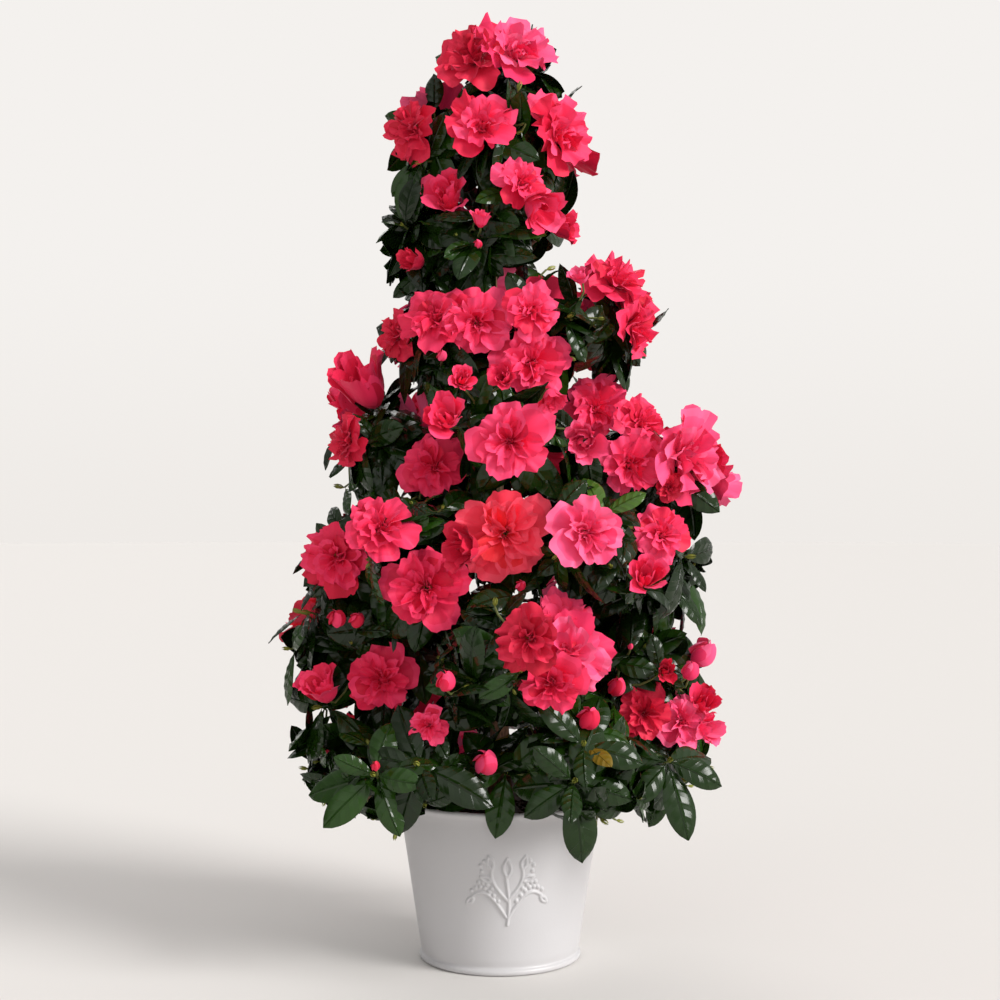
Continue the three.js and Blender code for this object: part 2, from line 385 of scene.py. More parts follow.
def makeSoil():
    radius, top = soilHigh[0], soilHigh[2]
    shares = [i / soil["rings"] for i in range(soil["rings"] + 1)]
    outline = [(radius * share, top - soil["fall"] * share ** 2) for share in shares]
    outline += [(radius - 1 * mm, top - 8 * mm), (footRadius - 3 * mm, soilLow[2]), (0, soilLow[2])]
    shape = turnedShape(outline, soil["steps"])
    for v in shape.verts:
        if v.co.z > top - 6 * mm:
            v.co.z += soil["roughness"] * (0.5 * waves(v.co, 5 * mm) + 0.3 * waves(v.co, 2 * mm) - 0.3)
    for _ in range(soil["crumbs"]):
        angle, away = between(0, math.tau), radius * 0.95 * math.sqrt(between(0.03, 1))
        size = between(*soil["crumbSize"])
        height = top - 2.2 * mm * (away / radius) ** 2
        place = Matrix.Translation((away * math.cos(angle), away * math.sin(angle), height))
        flattened = Matrix.Diagonal((size, size * 0.7, size * 0.5, 1))
        spot = place @ Matrix.Rotation(angle * 5, 4, "X") @ flattened
        bmesh.ops.create_icosphere(shape, subdivisions=1, radius=1, matrix=spot)
    pieceFromBmesh("root_ball_peat", shape, dampPeat(), ["root_ball"])


def dampPeat():
    # Damp sphagnum peat: near black brown, fibrous and quite matt.
    material, tree, shader = newMaterial("damp_peat", {"Specular IOR Level": 0.3})
    grain = surfaceNoise(tree, {"Scale": 700, "Detail": 6})
    addRamp(tree, shader, ((0, soil["dark"]), (1, soil["light"])), grain)
    addRoughness(tree, shader, 0.75, 0.98, grain)
    addRelief(tree, shader, 0.7, 0.8 * mm, grain)
    return material


# The woody parts: the main stem and the boughs, with bark relief

wood = {
    "stemSides": 28,
    "stemRow": 2.6 * mm,
    "boughSides": 14,
    "boughRow": 2.4 * mm,
    "ridge": 0.55 * mm,  # how far the bark's ridges stand out on the thickest part
    "barkDark": "#38261b",
    "barkLight": "#8a6a50",
}


def stemRings():  # height, centre and radius of each ring of the CAD stem
    points = cornersOf("main_stem")
    rings = []
    for height in np.unique(points[:, 2].round(4)):
        ring = points[np.abs(points[:, 2] - height) < 0.0001, :2]
        low, high = ring.min(0), ring.max(0)
        rings.append([height, *((low + high) / 2), (high - low).mean() / 2])
    return np.array(rings)


stemTable = stemRings()


def stemAt(height):
    return Vector([float(np.interp(height, stemTable[:, 0], stemTable[:, i])) for i in (1, 2)] + [height])


def stemRadiusAt(height):
    return float(np.interp(height, stemTable[:, 0], stemTable[:, 3]))


def barkTube(shape, path, radii, sides):
    # Rings along a path are bridged, then each point is moved out or in by the bark's ridges.
    rings = []
    reference = (path[1] - path[0]).orthogonal().normalized()
    for i, centre in enumerate(path):
        tangent = (path[min(i + 1, len(path) - 1)] - path[max(i - 1, 0)]).normalized()
        reference = (reference - tangent * reference.dot(tangent)).normalized()
        place = Matrix.Translation(centre) @ frameOf(reference, tangent.cross(reference), tangent)
        ring = bmesh.ops.create_circle(shape, segments=sides, radius=radii[i], matrix=place)["verts"]
        for k, v in enumerate(ring):
            angle = math.tau * k / sides
            groove = abs(math.sin(angle * 3.5 + 40 * centre.z + 2 * math.sin(centre.z * 90)))
            groove += 0.6 * waves(v.co, 3.2 * mm)
            depth = wood["ridge"] * min(radii[i] / (7 * mm), 1.2)
            v.co += (v.co - centre).normalized() * depth * (groove - 0.6)
        rings.append(ring)
    for ringA, ringB in zip(rings, rings[1:]):
        for k in range(sides):
            shape.faces.new((ringA[k - 1], ringA[k], ringB[k], ringB[k - 1]))
    shape.faces.new(list(reversed(rings[0])))
    shape.faces.new(rings[-1])


def boughEnds(node):  # where a CAD bough starts and ends
    points = cornersOf(node)
    away = np.hypot(points[:, 0], points[:, 1])
    inner = points[away < away.min() + 3 * mm].mean(0)
    outer = points[away > away.max() - 3 * mm].mean(0)
    return Vector(inner), Vector(outer)


def boughPath(node, steps=None):
    inner, outer = boughEnds(node)
    start = stemAt(inner.z - 2 * mm)
    bend = start.lerp(outer, 0.5)
    bend.z = start.z + (outer.z - start.z) * 0.4
    steps = steps or max(int((outer - start).length / wood["boughRow"]), 6)
    ts = np.linspace(0, 1, steps)
    return [start * (1 - t) ** 2 + bend * 2 * t * (1 - t) + outer * t * t for t in ts]


def makeWood():
    bark = fissuredBark()
    shape = bmesh.new()
    count = int((stemTable[-1, 0] - stemTable[0, 0]) / wood["stemRow"])
    heights = np.linspace(stemTable[0, 0], stemTable[-1, 0], count)
    barkTube(shape, [stemAt(h) for h in heights], [stemRadiusAt(h) for h in heights], wood["stemSides"])
    pieceFromBmesh("main_stem_bark", shape, bark, ["main_stem"])

    shape = bmesh.new()
    for node in boughNodes:
        path = boughPath(node)
        radii = np.linspace(3.4 * mm, 1.9 * mm, len(path))
        barkTube(shape, path, radii, wood["boughSides"])
    pieceFromBmesh("boughs_bark", shape, bark, boughNodes)


def fissuredBark():
    # Azalea bark: thin and grey-brown, split lengthwise into narrow strips over a warmer layer.
    material, tree, shader = newMaterial("fissured_bark", {"Specular IOR Level": 0.35})
    place = addNode(tree, "TexCoord").outputs["Object"]
    along = addNode(tree, "Mapping", {"Scale": (1, 1, 0.22)}, {"Vector": place})
    fibres = {"Scale": 650, "Detail": 5, "Distortion": 0.6}
    strips = surfaceNoise(tree, fibres, along.outputs[0])
    addRamp(tree, shader, ((0.35, wood["barkDark"]), (0.7, wood["barkLight"])), strips)
    addRoughness(tree, shader, 0.65, 0.95, strips)
    addRelief(tree, shader, 0.6, 0.6 * mm, strips)
    return material


# Leaves

leaf = {
    "across": 4,
    "along": 12,
    "halfWidth": 0.218,  # of the length
    "veinPairs": 6,
    "veinSlant": 0.9,  # how far the side veins run forward, in steps from vein to vein
    "length": (40 * mm, 54 * mm),
    "tones": {
        "leaf_dark": "#112206",
        "leaf_deep": "#162c07",
        "leaf_mid": "#203d0b",
        "leaf_young": "#42601f",
        "leaf_faded": "#74601c",
    },
    "toneShares": (0.4, 0.38, 0.22),  # of shoots in the first three tones
    "turn": 137.5,  # degrees round the shoot from each leaf to the next
    "crowded": 5 * mm,  # how much of the shoot the leaves at its end take up
    "lastShorter": 0.34,
}
leafTones = list(leaf["tones"])


def leafShape(bend, fold, twist, sway):
    # An azalea leaf: widest past its middle, blunt with a short point, its side veins sunk in.
    ts = np.linspace(0, 1, 60)
    angle = 0.12 - bend * ts ** 1.3
    along, rise = (np.cumsum(f(angle)) / 60 for f in (np.cos, np.sin))
    phase = luck.uniform(0, math.tau, 3)
    wide = leaf["halfWidth"] * between(0.9, 1.1)

    def place(u, t):
        blade = easedStep(0.02, 0.2, t)
        half = wide * (np.sin(np.pi * t ** 1.22) ** 0.72 * blade + 0.035 * (1 - blade)) + 0.004
        width = np.abs(u)
        lift = half * (fold * width - 0.5 * width ** 3)
        veins = np.cos(math.tau * (t * leaf["veinPairs"] - leaf["veinSlant"] * width))
        lift -= 0.007 * blade * 4 * width * (1 - width) * veins
        lift += 0.014 * width ** 2 * blade * np.sin(7 * t + phase[0] + np.sign(u) * phase[1])
        roll = twist * t
        side = u * half * np.cos(roll) - lift * np.sin(roll) + sway * t ** 2
        lift = u * half * np.sin(roll) + lift * np.cos(roll)
        theta = np.interp(t, ts, angle)
        return (
            np.interp(t, ts, along) - lift * np.sin(theta),
            side,
            np.interp(t, ts, rise) + lift * np.cos(theta),
        )

    return gridShape(leaf["across"], leaf["along"], place)


leafShapes = [
    leafShape(between(0.25, 0.95), between(0.2, 0.5), between(-0.3, 0.3), between(-0.08, 0.08))
    for _ in range(14)
]


def leafPlace(base, axis, turn, opening, length):
    # A leaf's own x runs from its stalk to its tip, and its z is its upper side.
    out = Matrix.Rotation(turn, 3, axis) @ axis.orthogonal().normalized()
    way = axis * math.cos(opening) + out * math.sin(opening)
    face = axis * math.sin(opening) - out * math.cos(opening)
    side = face.cross(way)
    return Matrix.Translation(base) @ frameOf(way, side, face) @ Matrix.Scale(length, 4)


def leafCuticle(name, tone):
    # A thick evergreen leaf under a waxy cuticle: dark green with sharp pale glints, which break up
    # over the quilted blade between its sunk midrib and side veins.
    wax = {"Base Color": colourOf(tone), "IOR": 1.45, "Specular IOR Level": 0.42}
    material, tree, shader = newMaterial(name, wax)
    addRoughness(tree, shader, 0.13, 0.32, surfaceNoise(tree, {"Scale": 110, "Detail": 3}))

    own = addNode(tree, "UVMap", {"uv_map": "own"})
    axes = addNode(tree, "SeparateXYZ", {}, {"Vector": own.outputs[0]}).outputs
    aside = addMath(tree, "ABSOLUTE", addMath(tree, "MULTIPLY_ADD", axes["X"], 2, -1))
    along = addMath(tree, "MULTIPLY", axes["Y"], leaf["veinPairs"])
    slanted = addMath(tree, "MULTIPLY_ADD", aside, -leaf["veinSlant"], along)
    quilt = addMath(tree, "POWER", addMath(tree, "PINGPONG", slanted, 0.5), 0.6)
    midrib = addNode(tree, "MapRange", {"From Max": 0.14, "To Min": -0.5}, {"Value": aside})
    blade = addMath(tree, "ADD", quilt, midrib.outputs[0])
    addRelief(tree, shader, 0.75, 0.8 * mm, blade)
    return material


# Flowers

def whorl(*values, **more):
    traits = ("count", "length", "half", "foot", "cup", "ruffle", "grid", "slopes")
    return {"depth": 0} | dict(zip(traits, values)) | more


bloom = {
    # Each whorl: how many petals; their length (in flower sizes) and half width in degrees; how far
    # from the axis they stand; how much they cup and ruffle; how finely they are divided; and the
    # slope away from the axis at foot, middle and tip, first as the flower begins to spread and
    # then fully spread. A depth of 1 gives the foot the throat's colour, which is deeper: partly the
    # flower's own tone and partly painted shade deep in the flower.
    "open": [
        whorl(5, 0.52, 39, 0.02, (-0.04, 0.03), 0.044, (16, 6), ((40, 74, 90), (48, 92, 108))),
        whorl(5, 0.47, 37, 0.02, (0.0, 0.12), 0.05, (16, 6), ((30, 56, 76), (38, 72, 92))),
        whorl(5, 0.37, 43, 0.03, (0.04, 0.18), 0.05, (11, 5), ((22, 34, 60), (30, 48, 84))),
        whorl(5, 0.27, 48, 0.05, (0.0, 0.1), 0.042, (7, 5), ((12, 10, 44), (20, 24, 74)), depth=1),
        whorl(3, 0.22, 66, 0.035, (0.0, 0.05), 0.026, (7, 4), ((4, -6, 8), (10, 4, 40)),
              twist=0.6, depth=1),
    ],
    "half": [
        whorl(5, 0.98, 44, 0.08, (0.0, 0.08), 0.04, (10, 7), ((56, 6, 34), (58, 22, 84)),
              lap=0.05, twist=0.2),
        whorl(5, 0.96, 46, 0.06, (0.0, 0.08), 0.036, (9, 6), ((46, 0, 2), (50, 8, 44)),
              lap=0.05, twist=0.3),
        whorl(4, 0.84, 60, 0.05, (0.0, 0.04), 0.03, (8, 6), ((36, -8, -40), (38, -2, 6)),
              lap=0.06, twist=0.8, depth=1),
    ],
    "bud": [
        whorl(5, 1.55, 62, 0.04, (0.0, 0.0), 0.012, (8, 9), ((76, 12, -56), (76, 12, -44)),
              bends=(0, 0.36, 1.0), round=0.2, lap=0.18, twist=1.7),
        whorl(3, 1.5, 90, 0.02, (0.0, 0.0), 0.004, (7, 9), ((80, 10, -78), (80, 10, -78)),
              bends=(0, 0.35, 1.0), round=0.05, lap=0.03, twist=1.3),
    ],
    "variants": {"open": 14, "half": 7, "bud": 4},
    "scallops": 4.4,  # on a petal's edge, each at the end of a soft pleat
    "footTintAndShadeEnd": 0.34,  # along a petal: below this it is deeper in colour, partly its own tone and partly painted shade
    "rimTintAndHighlightStart": 0.82,  # above this it may be paler, partly its own lighter margin and partly a painted highlight
    "tones": {  # of a petal's blade; its paler rim, partly its own and partly a painted highlight; its deeper foot and the flower's throat, partly their own tone and partly painted shade
        "pink": ("#f44f80", "#f7628f", "#e62e60", "#bd143b"),
        "rose": ("#f13664", "#f54675", "#de1b45", "#b00e2c"),
        "cerise": ("#e52752", "#ed3562", "#cf153a", "#a10b25"),
        "crimson": ("#d31b3e", "#db2547", "#be1130", "#92091e"),
        "coral": ("#f43d57", "#f74d66", "#ea2d3a", "#c81826"),
    },
}


def petalShape(whorl, turn, spread):
    across, along = whorl["grid"]
    closed, opened = whorl["slopes"]
    inBud = "round" in whorl
    loose = 0.25 if inBud else 1  # a bud's petals differ less
    lean = between(-11, 11) * loose
    slopes = np.add(closed, np.subtract(opened, closed) * spread) + lean
    slopes = [math.radians(a + between(-7, 7) * loose) for a in slopes]
    steps = np.linspace(0, 1.15, 47)
    slope = np.interp(steps, whorl.get("bends", (0, 0.5, 1.15)), slopes)
    away, rise = (np.cumsum(f(slope)) * steps[1] for f in (np.sin, np.cos))
    length = whorl["length"] * (1 + between(-0.12, 0.08) * loose)
    half = math.radians(whorl["half"]) * between(0.9, 1.1)
    ruffle = whorl["ruffle"] * between(0.6, 1.5)
    folds = between(1.1, 2.0)
    phase = luck.uniform(0, math.tau, 4)
    notch, bow = between(0, 0.07) * loose, between(-0.16, 0.16) * loose
    cup = between(*whorl["cup"])
    scallops = bloom["scallops"] * between(0.8, 1.2)
    frill = min(ruffle, 0.026)
    lap = whorl.get("lap", 0.03)
    rounding = whorl.get("round", 0.4) * between(0.8, 1.2)

    def place(u, t):
        outline = 1 - rounding * np.abs(u) ** 3 - notch * np.exp(-((u / 0.2) ** 2))
        pleat = np.cos(np.pi * scallops * u + phase[0])
        r = t * outline + frill * t ** 5 * pleat
        theta = np.interp(r, steps, slope)
        lift = -lap * u * easedStep(0, 0.5, r) + cup * u ** 2 * r
        lift += 0.2 * frill * r ** 3 * pleat
        lift += ruffle * r ** 2 * np.sin(np.pi * folds * u + phase[1] + 2 * r)
        lift += 0.95 * ruffle * r ** 5 * np.sin(np.pi * 2.1 * folds * u + phase[2])
        bearing = turn + half * u * (0.6 + 0.4 * easedStep(0, 0.65, t)) + bow * r ** 2
        bearing += whorl.get("twist", 0) * r + 0.06 * r ** 2 * np.sin(5 * u + phase[3])
        radius = whorl["foot"] + np.interp(r, steps, away) * length - lift * np.cos(theta)
        radius = np.maximum(radius, 0.004)
        height = np.interp(r, steps, rise) * length + lift * np.sin(theta)
        return radius * np.cos(bearing), radius * np.sin(bearing), height

    petal = gridShape(across, along, place)
    middles = petal["map"][petal["faces"]].mean(1)
    blade = int(luck.choice(3, p=(0.4, 0.3, 0.3) if inBud else (0.68, 0.16, 0.16)))
    petal["tone"] = np.full(len(middles), blade)
    # The paler rim is partly the petal's own lighter margin and partly a painted highlight.
    if luck.random() < 0.55:
        petal["tone"][middles[:, 1] > bloom["rimTintAndHighlightStart"]] = 1
    # The deeper foot and throat are partly the petal's own tone and partly painted shade in the flower's
    # middle.
    petal["tone"][middles[:, 1] < bloom["footTintAndShadeEnd"]] = 2 + whorl["depth"]
    return petal


def bloomShape(kind):
    petals = []
    spread, begin = between(0, 1), between(0, math.tau)
    tilt = luck.normal(0, 0.12, 2) if kind == "open" else (0, 0)
    for k, whorl in enumerate(bloom[kind]):
        begin += math.pi / whorl["count"] + between(-0.2, 0.2)
        for i in range(whorl["count"]):
            turn = begin + math.tau * i / whorl["count"] + between(-0.2, 0.2)
            petal = petalShape(whorl, turn, spread)
            height = petal["points"][:, 2] * k / len(bloom[kind])  # the inner whorls lean over a little
            petal["points"][:, 0] += height * tilt[0]
            petal["points"][:, 1] += height * tilt[1]
            petals.append(petal)
    shape = joinedShape(petals)
    reach = np.percentile(np.hypot(shape["points"][:, 0], shape["points"][:, 1]), 99)
    shape["points"] *= 0.5 / reach  # so that a flower's size is its width
    return shape


bloomShapes = {kind: [bloomShape(kind) for _ in range(n)] for kind, n in bloom["variants"].items()}
print("flower shapes made")

# Bud scales: five small pointed ones hold each flower, and a closed tuft ends each leafy shoot.
scale = {"count": 5, "grid": (2, 3), "tone": "#8b8f3a"}


def scaleShape(length, slopes, twist):
    steps = np.linspace(0, 1, 21)
    slope = np.interp(steps, (0, 0.5, 1), np.radians(slopes))
    away, rise = (np.cumsum(f(slope)) * length * steps[1] for f in (np.sin, np.cos))

    def blade(turn):
        def place(u, t):
            bearing = turn + 0.62 * u * (1 - t ** 2) ** 0.6 + twist * t
            radius = 0.04 + np.interp(t, steps, away)
            return radius * np.cos(bearing), radius * np.sin(bearing), np.interp(t, steps, rise)

        return gridShape(*scale["grid"], place)

    return joinedShape([blade(math.tau * i / scale["count"]) for i in range(scale["count"])])


calyxShape = scaleShape(0.3, (70, 22, 30), 0)
tuftShape = scaleShape(2.5, (38, 4, -30), 0.9)


def petalTissue(name, tone):
    # A thin, soft petal: matt, with fine veins along it and a pale velvety light at its edges.
    material, tree, shader = newMaterial(
        name,
        {
            "Base Color": colourOf(tone),
            "Sheen Weight": 0.22,
            "Sheen Roughness": 0.4,
            "Sheen Tint": colourOf("#ff9ac6"),
            "Specular IOR Level": 0.3,
            "Emission Color": colourOf(tone),  # stands for the light that soaks through from behind
            "Emission Strength": 0.06,
        },
    )
    addRoughness(tree, shader, 0.5, 0.72, surfaceNoise(tree, {"Scale": 160, "Detail": 2}))
    own = addNode(tree, "UVMap", {"uv_map": "own"})
    stretched = addNode(tree, "Mapping", {"Scale": (26, 2.2, 1)}, {"Vector": own.outputs[0]})
    veins = surfaceNoise(tree, {"Scale": 1, "Detail": 2}, stretched.outputs[0])
    addRelief(tree, shader, 0.3, 0.6 * mm, veins)
    return material


def plainTissue(name, tone, roughness):
    # Soft green or woody skin on bud scales and twigs: matt, faintly mottled relief.
    material, tree, shader = newMaterial(name, {"Base Color": colourOf(tone), "Roughness": roughness})
    addRelief(tree, shader, 0.3, 0.3 * mm, surfaceNoise(tree, {"Scale": 800, "Detail": 3}))
    return material


# Where the flowers on the front are. Each is given as seen from in front of the plant, at
# viewDistance and viewHeight: how far right of the pot's middle, how high, how wide, how far its
# face turns to the right and up in degrees, and its colour. All lengths in millimetres. The colour is
# partly painted shade: flowers on the shaded left mostly get the deeper tones (crimson, cerise) and
# those on the lit right the paler ones (pink, rose).
viewDistance, viewHeight = 1200 * mm, 327 * mm
openFlowers = [
    (12, 655, 64, 20, 34, "pink"),
    (-22, 648, 54, -25, 20, "crimson"),
    (-14, 600, 54, -2, 22, "rose"),
    (-67, 594, 46, -42, 0, "crimson"),
    (46, 593, 62, 45, 8, "rose"),
    (17, 559, 43, 22, 22, "rose"),
    (-49, 460, 53, -20, 20, "cerise"),
    (-78, 446, 36, -50, 5, "crimson"),
    (-16, 457, 50, 5, 8, "rose"),
    (24, 466, 43, 12, 15, "rose"),
    (23, 428, 58, 5, 10, "rose"),
    (84, 490, 54, 22, 50, "cerise"),
    (101, 452, 54, 62, -5, "cerise"),
    (-114, 369, 40, -55, 0, "crimson"),
    (-48, 352, 51, -5, 12, "cerise"),
    (8, 369, 61, 0, -3, "rose"),
    (70, 395, 54, 10, 15, "rose"),
    (95, 354, 50, 12, 8, "rose"),
    (104, 385, 42, 35, 25, "cerise"),
    (139, 358, 72, 48, -3, "pink"),
    (4, 303, 72, 0, 0, "coral"),
    (65, 306, 58, 22, 8, "pink"),
    (-120, 286, 56, -20, 5, "cerise"),
    (-87, 310, 52, -5, 28, "cerise"),
    (-55, 264, 65, -5, 5, "cerise"),
    (117, 304, 44, 10, 20, "rose"),
    (-86, 197, 52, -8, 8, "cerise"),
    (-51, 164, 30, 0, 0, "rose"),
    (18, 227, 52, -25, 5, "crimson"),
    (46, 243, 50, 10, 35, "rose"),
    (38, 192, 50, 0, -25, "cerise"),
    (51, 215, 62, 5, 0, "pink"),
    (104, 174, 42, 0, 12, "crimson"),
    (133, 168, 42, 15, 10, "pink"),
    (123, 337, 24, 20, 0, "crimson"),
]
halfOpenFlowers = [
    (-39, 548, 36, -15, 25, "rose"),
    (29, 537, 34, 35, -30, "rose"),
    (47, 523, 24, 60, 0, "cerise"),
    (-63, 499, 20, -50, 10, "crimson"),
    (-96, 408, 38, -30, 44, "cerise"),
    (-39, 388, 31, -10, 25, "rose"),
    (-27, 415, 20, 10, 20, "rose"),
    (2, 416, 21, -15, 15, "cerise"),
    (60, 369, 30, -5, -5, "pink"),
    (38, 399, 22, 10, -50, "rose"),
    (-28, 292, 34, -40, 0, "crimson"),
    (106, 273, 30, 5, 30, "rose"),
    (-129, 193, 32, -30, 52, "cerise"),
    (57, 489, 16, -30, 40, "pink"),
    (150, 161, 24, 45, 0, "pink"),
    (146, 181, 24, 20, 40, "cerise"),
    (119, 204, 16, 10, 10, "crimson"),
    (-14, 530, 15, 0, 72, "rose"),
]
buds = [
    (147, 219, 22, 40, 50, "pink"),
    (-16, 512, 7, -20, 30, "rose"),
    (-42, 432, 9, 5, 45, "rose"),
    (-118, 243, 15, -10, 45, "cerise"),
    (-103, 242, 13, 20, 45, "cerise"),
    (-40, 198, 16, -15, 60, "rose"),
    (-11, 140, 21, -5, 40, "rose"),
    (84, 194, 15, 10, 60, "cerise"),
    (64, 172, 19, 10, 50, "rose"),
    (15, 266, 9, 10, 40, "rose"),
    (137, 206, 15, 20, 70, "pink"),
    (94, 222, 5, 0, 40, "rose"),
    (-90, 136, 8, -15, 45, "crimson"),
]
bareRosettes = [  # shoots with no flower: across, height, turn, tilt
    (53, 124, 8, 20),
    (-90, 129, -12, 15),
    (-58, 136, -20, 20),
    (121, 139, 12, 20),
    (60, 150, 0, 30),
    (4, 131, 0, 12),
    (-136, 246, -62, 5),
    (-128, 178, -52, 0),
    (-112, 336, -60, 10),
    (133, 286, 60, 5),
]
fadedLeaves = [(6, 158, -10), (63, 149, 5), (2, 146, 20)]  # going over: across, height, turn


# The masses of foliage, as the places where shoots end

crown = {
    "shootSpacing": (26 * mm, 36 * mm),
    "shootDepth": (12 * mm, 27 * mm),  # how far inside a mass's surface a shoot's tip is
    "innerShoots": 11,  # leafy shoots inside each mass
    "flowerSpacing": (46 * mm, 74 * mm),
    "frontFacing": -0.2,  # flowers further round than this are dealt out by chance
    "lowestFlower": 215 * mm,  # of those dealt out by chance, where they would show at the sides
    "lowestLeaf": 84 * mm,
    "lowestSideLeaf": 72 * mm,  # on the bare rosettes beside the pot
    "skirtStart": 108 * mm,  # from the pot's axis: beyond this the lowest leaves stand higher,
    "skirtRise": 1.3,  # by this much of the way out
    "highestShoot": 630 * mm,  # flowers end the plant above this
    "leafOutside": 4 * mm,  # how far a leaf may reach out of the masses
    "highestFlower": 630 * mm,  # of those dealt out by chance
    "keptInView": 0.4,  # how far round a flower on the front no leaf hides it, in its widths
    "leavesOnShoot": (5, 7),
    "leavesUnderFlower": (5, 7),
    "clusterStep": 22 * mm,  # from the first flower of a cluster to the ones beside it
    "clusterSunk": 12 * mm,
    "clusterSizes": {1: 0.45, 2: 0.35, 3: 0.2},  # and how often each comes
    "hideReach": 110 * mm,  # only masses whose middles are this close can hide a place
    "holdReach": 130 * mm,  # or hold a leaf's tip
    "touching": 7 * mm,
    "clearOfRim": 16 * mm,  # beside the pot, how far the leaves that stay above its rim go
    "bands": (390 * mm, 235 * mm),  # the heights where the crown is parted into three pieces
}

massTrees = {}
massMiddle = {}
for node in foliageNodes:
    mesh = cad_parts[node].data
    mesh.calc_loop_triangles()
    corners = [v.co.copy() for v in mesh.vertices]
    massTrees[node] = BVHTree.FromPolygons(corners, [list(t.vertices) for t in mesh.loop_triangles])
    low, high = (Vector(c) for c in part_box(node))
    massMiddle[node] = (low + high) / 2


def onOutside(node, point):  # whether no other mass is close by
    for other, tree in massTrees.items():
        if other != node and (massMiddle[other] - point).length < crown["hideReach"]:
            if tree.find_nearest(point, crown["touching"])[0] is not None:
                return False
    return math.hypot(point.x, point.y) > 22 * mm or point.z > 600 * mm


def inCrown(point, allowance):  # whether a point is in a mass, or that close to one
    for node, tree in massTrees.items():
        if (massMiddle[node] - point).length < crown["holdReach"]:
            nearest, normal, _, distance = tree.find_nearest(point)
            if distance < allowance or (nearest - point).dot(normal) > 0:
                return True
    return False


def surfaceSpots(step):
    # Random places, about one for each step squared, over the crown's outer surface
    spots = []
    for node in foliageNodes:
        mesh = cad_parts[node].data
        triangles = cornersOf(node)[np.array([t.vertices for t in mesh.loop_triangles])]
        normals = np.cross(triangles[:, 1] - triangles[:, 0], triangles[:, 2] - triangles[:, 0])
        areas = np.linalg.norm(normals, axis=1) / 2
        for triangle, normal, area in zip(triangles, normals, areas):
            for _ in range(luck.poisson(area / step ** 2)):
                a, b = sorted(luck.random(2))
                point = Vector(triangle[0] * a + triangle[1] * (b - a) + triangle[2] * (1 - b))
                if onOutside(node, point):
                    spots.append({"node": node, "point": point, "normal": Vector(normal).normalized()})
    luck.shuffle(spots)
    return spots


def thinned(spots, spacing, taken):
    # Keeps spots that are a spacing apart, and apart from what is taken already
    kept, places = [], [np.array(p) for p in taken]
    for spot in spots:
        least = between(*spacing)
        here = np.array(spot["point"])
        if not places or np.sqrt(((np.array(places) - here) ** 2).sum(1).min()) > least:
            kept.append(spot)
            places.append(here)
    return kept


def onFront(across, height):
    # Where the crown's surface is along the line of sight, and which mass is there
    eye = Vector((0, -viewDistance, viewHeight))
    target = Vector((across * mm, 0, height * mm))
    way = (target - eye).normalized()
    hits = [(tree.ray_cast(eye, way), node) for node, tree in massTrees.items()]
    hits = [(hit[3], node) for hit, node in hits if hit[0] is not None]
    if hits:
        distance, node = min(hits)
    else:
        node = min(foliageNodes, key=lambda n: massTrees[n].find_nearest(target)[3])
        distance = (target - eye).length * 0.985
    return eye + way * distance, way, node, distance / (target - eye).length


def faceWay(turn, tilt):
    raised = Matrix.Rotation(math.radians(-tilt), 3, "X") @ front
    return Matrix.Rotation(math.radians(turn), 3, "Z") @ raised


flowerKinds = {
    # In flower sizes: from the foot to the middle, how deep the middle is in the crown, and the
    # radius and height of the space kept free of leaves. Then the size for a width seen from the
    # front, the widths in millimetres of those dealt out by chance, and the calyx's size.
    "open": {"middle": 0.22, "sunk": 0.16, "reach": 0.46, "tall": 1.0,
             "seen": 1.04, "chance": (44, 64), "calyx": 0.34},
    "half": {"middle": 0.42, "sunk": 0.05, "reach": 0.44, "tall": 1.3,
             "seen": 1.1, "chance": (22, 36), "calyx": 0.6},
    "bud": {"middle": 0.68, "sunk": -0.15, "reach": 0.46, "tall": 1.6,
            "seen": 0.9, "chance": (13, 20), "calyx": 0.9},
}
# The tones of those dealt out by chance, and how often each comes
chanceTones = {"pink": 0.2, "rose": 0.3, "cerise": 0.3, "crimson": 0.14, "coral": 0.06}


def newFlower(kind, node, base, aim, size, tone):
    return {"kind": kind, "node": node, "base": base, "aim": aim, "size": size, "tone": tone}


def seenFlower(kind, across, height, width, turn, tilt, tone):
    point, way, node, nearer = onFront(across, height)
    traits = flowerKinds[kind]
    size = width * mm * nearer * traits["seen"]
    aim = faceWay(turn, tilt)
    base = point + way * traits["sunk"] * size - aim * traits["middle"] * size
    seen = (across * mm, height * mm, crown["keptInView"] * width * mm)
    return newFlower(kind, node, base, aim, size, tone) | {"seen": seen}


def flowersInFront():
    made = []
    for kind, listed in (("open", openFlowers), ("half", halfOpenFlowers), ("bud", buds)):
        made += [seenFlower(kind, *entry) for entry in listed]
    return made


